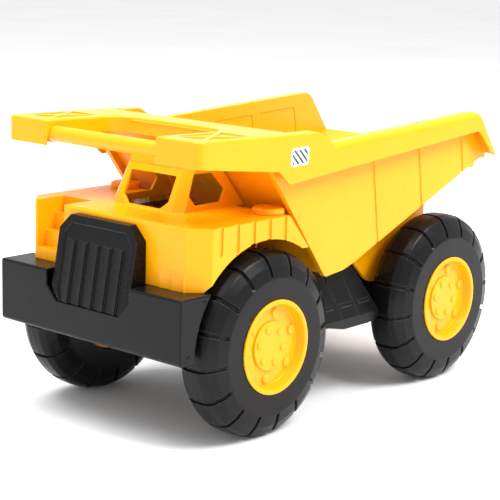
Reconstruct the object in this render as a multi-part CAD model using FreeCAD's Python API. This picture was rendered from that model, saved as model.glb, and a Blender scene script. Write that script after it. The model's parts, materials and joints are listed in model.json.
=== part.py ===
"""Toy dump truck: chassis, open cab, tipping bed and four wheels.

Millimetres.  The truck drives towards -Y, its left side is +X and the ground is z = 0.
The origin is on the ground under the middle of the truck.
"""
import FreeCAD, Part
import math
import os

V = FreeCAD.Vector
AXIS = {"X": V(1, 0, 0), "Y": V(0, 1, 0), "Z": V(0, 0, 1)}
SIDES = {"left": 1, "right": -1}

# ---- overall ----
HALF_LENGTH = 253.3
WALL = 2.4                  # moulded wall thickness
PLAY = 0.3                  # gap between pieces that move past each other
RUNNING = 0.05              # radial play of a wheel or hinge ear on its shaft

# ---- wheels ----
TYRE_R = 92.5
TYRE_IN, TYRE_OUT = 88.0, 138.0
TYRE_SKIN = 3.6
RIM_R = 46.2
RIM_FACE = 140.0
LUGS, LUG_PHASE = 16, 6.0
GROOVE_DEPTH = 2.4
GROOVE_WIDTH = 3.6
GROOVE_END_R = 70.0
DISH_X = 130.0
POCKET_R, POCKET_X = 20.0, 120.0
CAP_R, CAP_FACE = 24.5, 132.2
BOLTS = 6
AXLE_R = 4.0
AXLE_Z = TYRE_R
FRONT_AXLE_Y, REAR_AXLE_Y = -132.8, 160.6
HUB_INNER_X = 88.6
NUT_R, NUT_THICK = 8.0, 1.8

# ---- chassis ----
CHASSIS_X = 72.0
CHASSIS_FRONT, CHASSIS_REAR = -216.0, 192.0
CHASSIS_FLOOR, CHASSIS_TOP = 80.0, 140.0
CAB_DECK_Z = 165.0          # raised front of the chassis, under the cab
CAB_DECK_REAR = -84.0
BOSS_X = 75.5               # outer end of the axle and hinge bosses
SCREW_R, SCREW_HEAD_R = 1.8, 4.0
SCREW_SINK = 1.7            # how deep the cover's screw heads are sunk

# ---- bumper and grille ----
BUMPER_X = 126.2
BUMPER_BOTTOM, BUMPER_TOP = 92.0, 155.4
BUMPER_FRONT, BUMPER_REAR = -HALF_LENGTH, -205.0
BUMPER_ARCH_R = 101.5
BUMPER_END = 1.6            # rounding round the bumper's two ends
GRILLE_TOP, GRILLE_BOTTOM = 210.5, 125.0
GRILLE_X = 54.0
GRILLE_LEAN = 15.0          # how far the top leans back
SLATS = 5

# ---- body ----
BODY_X = 123.0
BODY_FRONT, BODY_REAR = -226.7, -98.7
DECK_Z = 215.5
BODY_ROUND = 1.2            # rounding of the body's upright corners and side edges
ARCH_R = 103.0
FENDER_END_Y, FENDER_END_Z = -68.5, 180.0
CORNER = 18.0
STEP_DEPTH = 12.0
STEPS = 4                   # three treads, then the deck
STEP_RISE = 16.2
STEP_INNER_X, STEP_OUTER_X = 61.0, 101.5
PAD_GROOVES = 5
PAD_FIRST_Y, PAD_PITCH = -198.0, 22.8

# ---- cab ----
CAB_X, CAB_ROOF_X = 50.0, 45.0
CAB_FRONT, CAB_ROOF_FRONT = -179.7, -157.4
CAB_ROOF_Z = 263.0
CAB_ROUND = 1.6
CAB_FLOOR_Z = 208.5
CAP_DECK_X, CAP_DECK_Y, CAP_DECK_R = 100.0, -105.7, 16.0

# ---- bed ----
BED_X = 118.0
RAIL_X = 132.0
BED_FOOT = (-35.3, 143.7)   # lowest front corner of the bed, (y, z)
BED_FRONT_RUN, BED_FRONT_RISE = -57.2, 75.7
FLOOR_BEND = (10.5, 151.6)
FLOOR_TIP = (HALF_LENGTH, 246.5)
PANEL_SETBACK = 8.0         # the front panel stands back from the side walls
HEADER_Z = 291.0
HEADER_FRONT, HEADER_REAR = -139.0, -104.0
ARM_FRONT = -239.0
ARM_IN = 75.0
ARM_TOP_FRONT, ARM_TOP_REAR = 299.0, 295.5
ARM_SKIRT_Z = 281.0         # lower edge of the arm beside the hand gap
ARM_CORNER = 8.0            # plan rounding of the arm's outer front corner
CANOPY_ROUND = 2.5          # rounding of the canopy's top edges
NOTCH_TOP_Y, NOTCH_FOOT = -70.0, (-46.0, 281.5)
RAIL_PEAK = (217.0, 295.5)
PEAK_ROUND = 18.0
RAIL_ROUND = 7.0            # rounding of the rail's outer top edge
SKIRT_FOOT = (-112.0, 248.0)
SKIRT_REAR = (214.0, 274.2)
BAR_R, BAR_Y, BAR_Z = 7.8, -226.7, 284.8
HINGE_Y, HINGE_Z = 168.3, 125.0
EAR_IN, EAR_OUT = 76.5, 80.5
PIN_CAP_R = 8.5
BED_RIBS = (42.5, 124.0, 205.0)
RIB_LEAN = -0.155           # the ribs lean forward as they rise
BED_ROUNDS = [4, 6, 10, 0, 18, 5, 4, 0, 0]


# ---- helpers ----
def point(plane, a, b, along):
    """A point in a plane across one axis, (a, b) being the other two coordinates in order."""
    if plane == "X":
        return V(along, a, b)
    if plane == "Y":
        return V(a, along, b)
    return V(a, b, along)


def outline(plane, corners, along, radii=None):
    """A closed wire through the corners, each rounded to its radius where one is given."""
    radii = radii or [0.0] * len(corners)
    flat = [point(plane, a, b, along) for a, b in corners]
    ends, edges = [], []
    for i, corner in enumerate(flat):
        before, after = flat[i - 1] - corner, flat[(i + 1) % len(flat)] - corner
        if radii[i] <= 0:
            ends.append((corner, corner, None))
            continue
        half = before.getAngle(after) / 2
        before.normalize()
        after.normalize()
        middle = (before + after).normalize()
        reach = radii[i] / math.tan(half)
        sag = radii[i] / math.sin(half) - radii[i]
        ends.append((corner + before * reach, corner + after * reach, corner + middle * sag))
    for i, (start, finish, mid) in enumerate(ends):
        if mid is not None:
            edges.append(Part.Arc(start, mid, finish).toShape())
        following = ends[(i + 1) % len(ends)][0]
        if finish.distanceToPoint(following) > 1e-6:
            edges.append(Part.LineSegment(finish, following).toShape())
    return Part.Wire(edges)


def prism(plane, corners, start, end, radii=None):
    """The outline extruded along one axis from start to end."""
    face = Part.Face(outline(plane, corners, start, radii))
    return face.extrude(AXIS[plane] * (end - start))


def box(x, y, z):
    """A block from three (low, high) pairs."""
    return Part.makeBox(x[1] - x[0], y[1] - y[0], z[1] - z[0], V(x[0], y[0], z[0]))


def rod_x(radius, x0, x1, y, z):
    """A cylinder along X."""
    return Part.makeCylinder(radius, x1 - x0, V(x0, y, z), V(1, 0, 0))


def rod_z(radius, z0, z1, x, y):
    """A cylinder along Z."""
    return Part.makeCylinder(radius, z1 - z0, V(x, y, z0), V(0, 0, 1))


def turned(profile, y, z):
    """A solid of revolution about the X line through (y, z), from (x, radius) corners."""
    wire = Part.makePolygon([V(x, y, z + r) for x, r in profile + profile[:1]])
    return Part.Face(wire).revolve(V(0, y, z), V(1, 0, 0), 360)


def mirrored(shape):
    """The shape on the other side of the truck's middle plane."""
    return shape.mirror(V(0, 0, 0), V(1, 0, 0))


def both(shape):
    """The shape and its mirror image."""
    return shape.fuse(mirrored(shape))


def around_x(shape, count, y, z, first=0.0):
    """Copies of the shape spaced evenly about the X line through (y, z)."""
    copies = []
    for i in range(count):
        copy = shape.copy()
        copy.rotate(V(0, y, z), V(1, 0, 0), first + 360.0 * i / count)
        copies.append(copy)
    return copies


def on_ends(edge, x):
    """Whether an edge lies in one of the two end planes at plus and minus x."""
    return all(abs(abs(v.X) - x) < 1e-6 for v in edge.Vertexes) and edge.BoundBox.XLength < 1e-3


def joined(shapes):
    """All the shapes fused into one clean solid."""
    return shapes[0].multiFuse(shapes[1:]).removeSplitter() if len(shapes) > 1 else shapes[0]


def save(name, shape):
    """Write one node, and stop if it isn't made of valid solids."""
    solids = shape.Solids
    if not solids or not all(s.isValid() for s in solids):
        raise ValueError(name + " is not a valid solid")
    solid = solids[0] if len(solids) == 1 else Part.makeCompound(solids)
    solid.exportStep("parts/" + name + ".step")
    print(name, len(solids), round(sum(s.Volume for s in solids) / 1000.0, 1), "cm3")


# ---- wheels ----
def tyre_half():
    """Inner half of the tyre's outside as (x, radius): sidewall, two facets, crowned tread."""
    return [(TYRE_IN, RIM_R), (TYRE_IN, 68.0), (91.2, 79.5), (97.0, 88.8), (104.0, TYRE_R)]


def tyre(axle_y):
    """Left-hand hollow tyre: flat sidewall, two shoulder facets, lug grooves all round."""
    outer = tyre_half() + [(TYRE_IN + TYRE_OUT - x, r) for x, r in reversed(tyre_half())]
    wall_in, wall_out = TYRE_IN + TYRE_SKIN, TYRE_OUT - TYRE_SKIN
    crown = TYRE_R - TYRE_SKIN - 1.0
    inner = [(wall_out, RIM_R), (wall_out, 66.0), (130.5, 78.0), (124.5, crown),
             (101.5, crown), (95.5, 78.0), (wall_in, 66.0), (wall_in, RIM_R)]
    body = turned(outer + inner, axle_y, AXLE_Z)
    shell = turned([(x, r - GROOVE_DEPTH) for x, r in outer[1:-1]]
                   + [(TYRE_OUT + 9, 60), (TYRE_OUT + 9, 120), (TYRE_IN - 9, 120), (TYRE_IN - 9, 60)],
                   axle_y, AXLE_Z)
    half = GROOVE_WIDTH / 2
    blade = box((TYRE_IN - 5, TYRE_OUT + 5), (axle_y - half, axle_y + half),
                (AXLE_Z + GROOVE_END_R, AXLE_Z + TYRE_R + 5))
    cuts = joined(around_x(blade, LUGS, axle_y, AXLE_Z, LUG_PHASE))
    return body.cut(cuts.common(shell))


def hub(axle_y):
    """Left-hand rim: rolled lip, cone, bolted dish, pocket for the nut, ribbed back."""
    lip_in = 42.4
    profile = [(HUB_INNER_X, AXLE_R + RUNNING), (HUB_INNER_X, 9.0), (POCKET_X - WALL, 9.0),
               (POCKET_X - WALL, POCKET_R + WALL), (DISH_X - WALL, POCKET_R + WALL),
               (DISH_X - WALL, RIM_R - WALL - 2), (126.0, RIM_R - WALL), (91.0, RIM_R - WALL),
               (91.0, RIM_R), (TYRE_OUT, RIM_R), (TYRE_OUT, RIM_R + 0.6), (139.2, RIM_R + 0.4),
               (RIM_FACE, 45.2), (RIM_FACE, 43.6), (139.0, lip_in), (DISH_X, 39.0),
               (DISH_X, POCKET_R), (POCKET_X, POCKET_R), (POCKET_X, AXLE_R + RUNNING)]
    body = turned(profile, axle_y, AXLE_Z)
    rib = box((92.0, DISH_X - WALL), (axle_y - 1.2, axle_y + 1.2), (AXLE_Z + 8.0, AXLE_Z + RIM_R - 2.0))
    stud = turned([(DISH_X - 1, 0.0), (DISH_X - 1, 4.8), (DISH_X + 1.2, 4.8), (DISH_X + 2.2, 3.8),
                   (DISH_X + 2.2, 0.0)], axle_y, AXLE_Z + 32.3)
    studs = around_x(stud, BOLTS, axle_y, AXLE_Z, -10.0)
    ribs = around_x(rib, BOLTS, axle_y, AXLE_Z, 20.0)
    pocket = rod_x(POCKET_R + 0.5, POCKET_X - WALL - 0.5, DISH_X, axle_y, AXLE_Z)
    ribs = [r.cut(pocket) for r in ribs]
    return joined([body] + studs + ribs)


def hub_cap(axle_y):
    """Left-hand centre disc that snaps over the axle end, with a ring of small bolt heads."""
    disc = turned([(DISH_X, 0.0), (DISH_X, CAP_R), (CAP_FACE - 0.6, CAP_R), (CAP_FACE, CAP_R - 0.8),
                   (CAP_FACE, 0.0)], axle_y, AXLE_Z)
    spigot = turned([(DISH_X - 5, POCKET_R - 2.5), (DISH_X - 5, POCKET_R), (DISH_X, POCKET_R),
                     (DISH_X, POCKET_R - 2.5)], axle_y, AXLE_Z)
    stud = turned([(CAP_FACE - 1, 0.0), (CAP_FACE - 1, 3.6), (CAP_FACE + 0.9, 3.6),
                   (CAP_FACE + 1.7, 2.8), (CAP_FACE + 1.7, 0.0)], axle_y, AXLE_Z + 17.5)
    return joined([disc, spigot] + around_x(stud, BOLTS, axle_y, AXLE_Z, 18.0))


def axle(axle_y):
    """Steel rod right across the truck."""
    end = POCKET_X + 4.5
    return rod_x(AXLE_R, -end, end, axle_y, AXLE_Z)


def ring_pair(outer_r, inner_r, x0, x1, y, z):
    """One ring on each side of the truck."""
    ring = rod_x(outer_r, x0, x1, y, z).cut(rod_x(inner_r, x0 - 1, x1 + 1, y, z))
    return [ring, mirrored(ring)]


def axle_sleeves():
    """Spacer tubes between the chassis and the hubs."""
    rings = []
    for axle_y in (FRONT_AXLE_Y, REAR_AXLE_Y):
        rings += ring_pair(7.0, AXLE_R, BOSS_X, HUB_INNER_X - PLAY, axle_y, AXLE_Z)
    return Part.makeCompound(rings)


def axle_nuts():
    """Push nuts that hold the hubs on."""
    start = POCKET_X + PLAY
    rings = []
    for axle_y in (FRONT_AXLE_Y, REAR_AXLE_Y):
        rings += ring_pair(NUT_R, AXLE_R, start, start + NUT_THICK, axle_y, AXLE_Z)
    return Part.makeCompound(rings)


# ---- chassis ----
def cover_screw_places():
    """Where the bottom cover is screwed on."""
    return [(side * 58.0, y) for y in (-180.0, -60.0, 60.0, 140.0) for side in (1, -1)]


def body_screw_places():
    """Where the body is screwed down on the raised front of the chassis."""
    return [(side * 56.0, y) for y in (-203.0, -108.0) for side in (1, -1)]


def chassis_frame():
    """Open-bottomed channel with a raised front, axle bosses and hinge lugs."""
    top = CAB_DECK_Z
    side = [(CHASSIS_FRONT, CHASSIS_FLOOR), (CHASSIS_FRONT, top), (CAB_DECK_REAR - 14, top),
            (CAB_DECK_REAR, CHASSIS_TOP), (CHASSIS_REAR, CHASSIS_TOP), (CHASSIS_REAR, CHASSIS_FLOOR)]
    shell = prism("X", side, -CHASSIS_X, CHASSIS_X, [0, 6, 6, 0, 10, 0])
    hollow = [(CHASSIS_FRONT + WALL, CHASSIS_FLOOR - 1), (CHASSIS_FRONT + WALL, top - WALL),
              (CAB_DECK_REAR - 16, top - WALL), (CAB_DECK_REAR - 2, CHASSIS_TOP - WALL),
              (CHASSIS_REAR - WALL, CHASSIS_TOP - WALL), (CHASSIS_REAR - WALL, CHASSIS_FLOOR - 1)]
    frame = shell.cut(prism("X", hollow, -CHASSIS_X + WALL, CHASSIS_X - WALL))
    extras = []
    for axle_y in (FRONT_AXLE_Y, REAR_AXLE_Y):
        extras.append(rod_x(10.0, CHASSIS_X - WALL - 8, BOSS_X, axle_y, AXLE_Z))
    extras.append(rod_x(10.0, CHASSIS_X - WALL - 8, BOSS_X, HINGE_Y, HINGE_Z))
    for y in (-100.0, -20.0, 75.0):
        extras.append(box((0, CHASSIS_X - 1), (y - 1.2, y + 1.2), (100.0, CHASSIS_TOP - 1)))
    extras.append(box((0, 50.0), (-30.0, -12.0), (CHASSIS_TOP - 1, BED_FOOT[1] - PLAY)))
    frame = frame.fuse(joined([both(e) for e in extras])).removeSplitter()
    posts = []
    for x, y in cover_screw_places():
        roof = top - WALL if y < CAB_DECK_REAR else CHASSIS_TOP - WALL
        posts.append(rod_z(4.5, CHASSIS_FLOOR + WALL, roof + 0.5, x, y))
    frame = frame.fuse(joined(posts)).removeSplitter()
    bores = [rod_x(AXLE_R, -90, 90, axle_y, AXLE_Z) for axle_y in (FRONT_AXLE_Y, REAR_AXLE_Y)]
    bores.append(rod_x(AXLE_R, -90, 90, HINGE_Y, HINGE_Z))
    for x, y in cover_screw_places():
        bores.append(rod_z(SCREW_R, CHASSIS_FLOOR - 1, CHASSIS_FLOOR + 15, x, y))
    for x, y in body_screw_places():
        bores.append(rod_z(SCREW_R, CAB_DECK_Z - 5, CAB_DECK_Z + 1, x, y))
    for side in (1, -1):
        bores.append(Part.makeCylinder(SCREW_R, 8, V(side * 62.0, CHASSIS_FRONT - 2, 112.0), AXIS["Y"]))
    return frame.cut(joined(bores)).removeSplitter()


def chassis_cover():
    """Flat plate that closes the channel from below."""
    plate = box((-CHASSIS_X + WALL, CHASSIS_X - WALL), (CHASSIS_FRONT + WALL, CHASSIS_REAR - WALL),
                (CHASSIS_FLOOR, CHASSIS_FLOOR + WALL))
    slots = [box((-38, 38), (y - 3, y + 3), (CHASSIS_FLOOR - 1, CHASSIS_FLOOR + 1.2))
             for y in (-150.0, -120.0, -90.0, -30.0, 0.0, 30.0, 90.0, 120.0)]
    holes = []
    for x, y in cover_screw_places():
        holes.append(rod_z(SCREW_R, CHASSIS_FLOOR - 1, CHASSIS_FLOOR + WALL + 1, x, y))
        holes.append(rod_z(SCREW_HEAD_R + 0.3, CHASSIS_FLOOR - 1, CHASSIS_FLOOR + SCREW_SINK, x, y))
    return plate.cut(joined(slots)).cut(joined(holes))


def screw(x, y, z, direction):
    """A pan-head screw whose head sits at the point and whose shank runs along the direction."""
    head = Part.makeCylinder(SCREW_HEAD_R, 1.6, V(x, y, z) - direction * 1.6, direction)
    shank = Part.makeCylinder(SCREW_R, 12.0, V(x, y, z), direction)
    slot = box((-2.5, 2.5), (-0.5, 0.5), (-0.6, 0.6)).fuse(box((-0.5, 0.5), (-2.5, 2.5), (-0.6, 0.6)))
    slot.Placement = FreeCAD.Placement(V(x, y, z) - direction * 1.6,
                                       FreeCAD.Rotation(V(0, 0, 1), direction))
    return head.fuse(shank).removeSplitter().cut(slot)


def cover_screws():
    """Screws sunk in the bottom cover."""
    seat = CHASSIS_FLOOR + SCREW_SINK
    return Part.makeCompound([screw(x, y, seat, AXIS["Z"]) for x, y in cover_screw_places()])


def body_screws():
    """Screws from inside the chassis up into the body."""
    return Part.makeCompound([screw(x, y, CAB_DECK_Z - WALL, AXIS["Z"]) for x, y in body_screw_places()])


def bumper_screws():
    """Screws from inside the chassis forward into the bumper."""
    return Part.makeCompound([screw(side * 62.0, CHASSIS_FRONT + WALL, 112.0, -AXIS["Y"])
                              for side in (1, -1)])


def side_step():
    """Left-hand sloping skirt between the wheels, with a tread lip and panel ribs."""
    front, rear, top_rear = -34.0, 63.4, 53.4
    section = [(CHASSIS_X, 136.0), (CHASSIS_X, 124.0), (81.0, 124.0), (107.0, 88.0), (107.0, 80.0),
               (113.6, 80.0), (113.6, 92.0), (85.0, 136.0)]
    plate = prism("Y", section, front, rear, [0, 0, 3, 2, 0, 2, 2, 3])
    corners = [(front, 150), (top_rear - 0.6, 150), (top_rear, 137.0), (rear, 95), (rear, 84),
               (rear - 16, 80), (8.0, 80), (-20.0, 86.0), (front, 86.0)]
    plate = plate.common(prism("X", corners, 60, 130, [0, 0, 3, 3, 5, 6, 8, 0, 0]))
    lines = [prism("Y", [(90.4, 116.6), (93.2, 118.4), (92.4, 119.6), (89.6, 117.8)], front - 1, rear + 1)]
    for y in (2.0, 30.0):
        slope = [(84.4, 135.0), (112.6, 91.6), (116.0, 93.0), (87.0, 137.5)]
        lines.append(prism("Y", slope, y - 0.8, y + 0.8))
    plate = plate.cut(joined(lines))
    web = prism("Y", [(CHASSIS_X, 125.0), (CHASSIS_X, 102.0), (92.0, 102.0), (95.5, 104.5), (80.6, 125.0)],
                12.0, 15.0)
    grips = [prism("Y", [(103.6, 105.0), (106.0, 101.4), (108.0, 102.6), (105.6, 106.2)], y - 9, y + 9)
             for y in (-14.0, 16.0, 46.0)]
    return joined([plate, web] + grips)


# ---- bumper and grille ----
def bumper():
    """Wide box bumper with its lower edge rolled under and a cut-out for the grille."""
    section = [(BUMPER_FRONT, BUMPER_TOP), (BUMPER_FRONT, BUMPER_BOTTOM),
               (-180.0, BUMPER_BOTTOM), (-180.0, BUMPER_TOP)]
    block = prism("X", section, -BUMPER_X, BUMPER_X, [2.5, 5, 0, 0])
    ends = [edge for edge in block.Edges if on_ends(edge, BUMPER_X) and edge.BoundBox.YMin < -181]
    block = block.makeFillet(BUMPER_END, ends)
    block = block.cut(rod_x(BUMPER_ARCH_R, -140, 140, FRONT_AXLE_Y, AXLE_Z))
    block = block.common(box((-140, 140), (-260, BUMPER_REAR), (80, 160)))
    inside = [(BUMPER_FRONT + WALL, BUMPER_TOP - WALL), (BUMPER_FRONT + WALL, BUMPER_BOTTOM + WALL),
              (BUMPER_FRONT + 12, BUMPER_BOTTOM + WALL), (BUMPER_FRONT + 12, BUMPER_BOTTOM - 1),
              (-170.0, BUMPER_BOTTOM - 1), (-170.0, BUMPER_TOP - WALL)]
    block = block.cut(prism("X", inside, -BUMPER_X + WALL, BUMPER_X - WALL, [0, 5, 0, 0, 0, 0]))
    notch = [(-58, BUMPER_TOP + 2), (-58, 140), (-44, GRILLE_BOTTOM), (44, GRILLE_BOTTOM), (58, 140),
             (58, BUMPER_TOP + 2)]
    block = block.cut(prism("Y", notch, BUMPER_FRONT - 5, BODY_FRONT))
    block = block.cut(box((-CHASSIS_X, CHASSIS_X), (CHASSIS_FRONT, BUMPER_REAR + 1), (80, 170)))
    pieces = [block]
    for side in (1, -1):
        pieces.append(box(sorted((side * 55.0, side * 69.0)), (BUMPER_FRONT + 1, CHASSIS_FRONT),
                          (BUMPER_BOTTOM + 13, 119.0)))
        for y, z in ((-222.8, 150.0), (-243.5, 100.5)):
            stud = Part.makeSphere(4.0, V(side * (BUMPER_X - 2.6), y, z))
            outside = box(sorted((side * (BUMPER_X - 1), side * 130)), (-260, -200), (80, 160))
            pieces.append(stud.common(outside))
    body = joined(pieces)
    holes = [Part.makeCylinder(SCREW_R, 14, V(side * 62.0, CHASSIS_FRONT + 1, 112.0), -AXIS["Y"])
             for side in (1, -1)]
    keep = box((-200, 200), (-HALF_LENGTH, 0), (0, 300))
    return body.cut(joined(holes)).common(keep)


def grille_front_y(z):
    """Where the leaning front of the grille is at a height."""
    share = (z - GRILLE_BOTTOM) / (GRILLE_TOP - GRILLE_BOTTOM)
    return BUMPER_FRONT + 1.6 + GRILLE_LEAN * share


def grille_block(sink, corners):
    """A slab of the outline whose front follows the lean, set back by the sink."""
    low, high = GRILLE_BOTTOM - 5, GRILLE_TOP + 5
    lean = [(grille_front_y(low) + sink, low), (grille_front_y(high) + sink, high), (BODY_FRONT, high),
            (BODY_FRONT, low)]
    return prism("Y", corners, -290, BODY_FRONT).common(prism("X", lean, -80, 80))


def grille():
    """Radiator grille: octagonal slab with a sunk panel and upright slats."""
    top, bottom, half = GRILLE_TOP, GRILLE_BOTTOM + 0.3, GRILLE_X
    shape = [(-half + 11, bottom), (half - 11, bottom), (half, 138), (half, top - 14),
             (half - 13.5, top),
             (-half + 13.5, top), (-half, top - 14), (-half, 138)]
    slab = grille_block(0.0, shape)
    rim = 8.0
    panel = [(-half + rim + 6, bottom - 3), (half - rim - 6, bottom - 3), (half - rim, 138),
             (half - rim, top - 18), (half - rim - 9, top - 8), (-half + rim + 9, top - 8),
             (-half + rim, top - 18), (-half + rim, 138)]
    sunk = grille_block(-20.0, panel).cut(grille_block(1.8, panel))
    slab = slab.cut(sunk)
    slats = []
    pitch = 2 * (half - rim) / (SLATS + 0.5)
    for i in range(SLATS):
        left = -half + rim + 2.0 + pitch * i
        right = left + pitch - 3.0
        slats.append(slat(left, right, bottom, top - 24))
    edge = 4.0
    pocket = [(-half + 13, bottom + edge), (half - 13, bottom + edge), (half - edge, 139),
              (half - edge, top - 16), (half - 15, top - edge), (-half + 15, top - edge),
              (-half + edge, top - 16), (-half + edge, 139)]
    return joined([slab] + slats).cut(grille_block(5.5, pocket))


def slat(left, right, z0, z1):
    """One upright slat: flush with the sunk panel on one edge and proud on the other."""
    low, high = [], []
    for z, wire in ((z0, low), (z1, high)):
        y = grille_front_y(z)
        for x, dy in ((left, 1.9), (right, -0.6), (right, 3.0), (left, 3.0)):
            wire.append(V(x, y + dy, z))
    return Part.makeLoft([Part.makePolygon(w + w[:1]) for w in (low, high)], True, True)


# ---- body ----
def body_side(inset):
    """The body's side outline in (y, z), drawn in by the inset."""
    low = BUMPER_TOP if inset == 0 else BUMPER_TOP - 5
    return [(BODY_FRONT + inset, low), (BODY_FRONT + inset, DECK_Z - inset),
            (BODY_REAR - inset * 0.9, DECK_Z - inset),
            (FENDER_END_Y - inset * 1.1, FENDER_END_Z - inset * 0.1),
            (FENDER_END_Y - inset * 1.1, low)]


def body_plan(inset):
    """The body's plan outline in (x, y): both front corners are cut off at 45 degrees."""
    edge, front = BODY_X - inset, BODY_FRONT + inset
    cut = CORNER - inset * 0.6
    return [(-edge, front + cut), (-edge, -20), (edge, -20), (edge, front + cut), (edge - cut, front),
            (-edge + cut, front)]


def tread(i):
    """Front edge (y) and height (z) of one tread of the stairwell."""
    return BODY_FRONT + STEP_DEPTH * i, DECK_Z - STEP_RISE * (STEPS - 1 - i)


def stairwell():
    """The space above the treads beside the hood."""
    space = []
    for i in range(STEPS - 1):
        front, top = tread(i)
        space.append(box((-STEP_OUTER_X, -STEP_INNER_X), (front - 50, front + STEP_DEPTH),
                         (top, DECK_Z + 50)))
    return joined(space)


def stairs():
    """Treads and risers, with a cheek beside the hood and a thin wall outside."""
    inner, outer = -STEP_INNER_X + WALL, -STEP_OUTER_X - WALL
    pieces = []
    for i in range(STEPS - 1):
        front, top = tread(i)
        back = front + STEP_DEPTH + WALL
        pieces.append(box((outer, inner), (front, back), (top - WALL, top)))
        pieces.append(box((outer, inner), (back - WALL, back), (top - WALL, top + STEP_RISE)))
    back = tread(STEPS - 1)[0] + WALL
    pieces.append(box((-STEP_INNER_X, inner), (BODY_FRONT, back), (BUMPER_TOP, DECK_Z)))
    pieces.append(box((outer, -STEP_OUTER_X), (BODY_FRONT, back), (BUMPER_TOP, DECK_Z)))
    chassis = box((-CHASSIS_X, 0), (CHASSIS_FRONT, 0), (100, CAB_DECK_Z))
    return joined(pieces).common(prism("Z", body_plan(0), 140, DECK_Z)).cut(chassis)


def cab_loft(inset):
    """The cab's leaning shell from deck to roof, drawn in by the inset."""
    wires = []
    bevel = 10.0
    foot = (DECK_Z - (WALL + 1 if inset else 1), CAB_X, CAB_FRONT)
    roof = (CAB_ROOF_Z - inset, CAB_ROOF_X, CAB_ROOF_FRONT)
    for z, half, front in (foot, roof):
        rear = front_panel_y(z) - 3.0
        x, nose = half - inset, front + inset * 1.1
        corners = [(-x, rear), (x, rear), (x, nose + bevel * 0.8), (x - bevel, nose), (-x + bevel, nose),
                   (-x, nose + bevel * 0.8), (-x, rear)]
        wires.append(Part.makePolygon([V(a, b, z) for a, b in corners]))
    return Part.makeLoft(wires, True, True)


def front_panel_y(z):
    """Outer face of the bed's set-back front panel at a height."""
    return bed_front_y(z) + PANEL_SETBACK


def bed_front_y(z):
    """Front edge of the bed's side walls at a height."""
    return BED_FOOT[0] + (z - BED_FOOT[1]) * BED_FRONT_RUN / BED_FRONT_RISE


def windows():
    """Openings of the windshield and the two side windows."""
    shield = [(-22.5, 216.8), (22.5, 216.8), (31.5, 224.5), (31.5, 249.0), (-31.5, 249.0), (-31.5, 224.5)]
    side = [(-154.7, 252), (-129.2, 251), (-112.7, 233), (-119.7, 221), (-155.7, 221), (-163.7, 231)]
    return prism("Y", shield, -200, -140, [2] * 6).fuse(prism("X", side, -70, 70, [2] * 6))


def body_block():
    """Solid outside shape of the hood and fenders with its edges rounded."""
    block = prism("X", body_side(0), -BODY_X, BODY_X, [0, 4, 5, 0, 0]).common(
        prism("Z", body_plan(0), 140, 230))
    upright = [e for e in block.Edges if e.BoundBox.DiagonalLength - 0.1 < e.BoundBox.ZLength > 20]
    sides = [e for e in block.Edges if on_ends(e, BODY_X) and e.BoundBox.ZMin > FENDER_END_Z - 1]
    return block.makeFillet(BODY_ROUND, upright + sides)


def cab_block():
    """Solid outside shape of the cab with its leaning corners and roof edges rounded."""
    block = cab_loft(0.0)
    corners = [e for e in block.Edges if e.BoundBox.ZLength > 10]
    roof = [e for e in block.Edges if e.BoundBox.ZMin > CAB_ROOF_Z - 0.1]
    return block.makeFillet(CAB_ROUND, corners + roof)


def cab_body():
    """Hood, fenders and open cab moulded as one shell, open underneath."""
    shell = body_block()
    hollow = prism("X", body_side(WALL), -BODY_X + WALL, BODY_X - WALL).common(
        prism("Z", body_plan(WALL), 130, 230))
    shell = shell.cut(hollow).cut(stairwell()).fuse(stairs()).removeSplitter()
    arch = rod_x(ARCH_R, 60, 140, FRONT_AXLE_Y, AXLE_Z)
    below = box((55, 140), (-140, -40), (100, FENDER_END_Z))
    shell = shell.cut(both(arch)).cut(both(below))
    shell = shell.cut(cab_opening())
    cab = cab_block().cut(cab_loft(WALL)).cut(windows())
    bosses = joined([rod_z(5.5, CAB_DECK_Z, DECK_Z - 1, x, y) for x, y in body_screw_places()])
    shell = joined([shell, cab, bosses, visor(), louvres()])
    cuts = [rod_z(SCREW_R + 0.15, CAB_DECK_Z - 1, CAB_DECK_Z + 11, x, y) for x, y in body_screw_places()]
    for i in range(PAD_GROOVES):
        y = PAD_FIRST_Y + PAD_PITCH * i
        cuts.append(both(pad_groove(y)))
    cuts.append(cab_loft(WALL))
    shell = shell.cut(joined(cuts))
    return shell.cut(rear_trim()).removeSplitter()


def cab_opening():
    """The hole in the deck inside the cab."""
    return box((-CAB_X + WALL, CAB_X - WALL), (CAB_FRONT + 6, BODY_REAR + 10), (DECK_Z - 10, DECK_Z + 5))


def visor():
    """Roof cap with a short visor over the windshield."""
    rear = front_panel_y(CAB_ROOF_Z) - 4.0
    top, low = CAB_ROOF_Z + 1.5, CAB_ROOF_Z - 1.0
    section = [(CAB_ROOF_FRONT - 4.0, 255.0), (CAB_ROOF_FRONT - 2.5, top), (rear, top), (rear, low),
               (CAB_ROOF_FRONT + 2.0, low), (CAB_ROOF_FRONT + 1.0, 255.0)]
    return prism("X", section, -36, 36, [2, 3, 2, 0, 0, 0])


def louvres():
    """Three saw-tooth vents low on the left of the body's front."""
    teeth = []
    for i in range(3):
        x = 73.5 + 15.6 * i
        tooth = [(x, BODY_FRONT + 1), (x, BODY_FRONT - 1.8), (x + 13.6, BODY_FRONT - 0.1),
                 (x + 13.6, BODY_FRONT + 1)]
        teeth.append(prism("Z", tooth, BUMPER_TOP, 174.5))
    return joined(teeth).common(box((0, 105.0), (-300, 0), (0, 300)))


def pad_groove(y):
    """An upright groove in the fender's side that makes a row of raised pads."""
    return box((BODY_X - 1.8, BODY_X + 5), (y - 3.2, y + 3.2), (191.0, DECK_Z + 5)).fuse(
        rod_x(3.2, BODY_X - 1.8, BODY_X + 5, y, 191.0))


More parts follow.
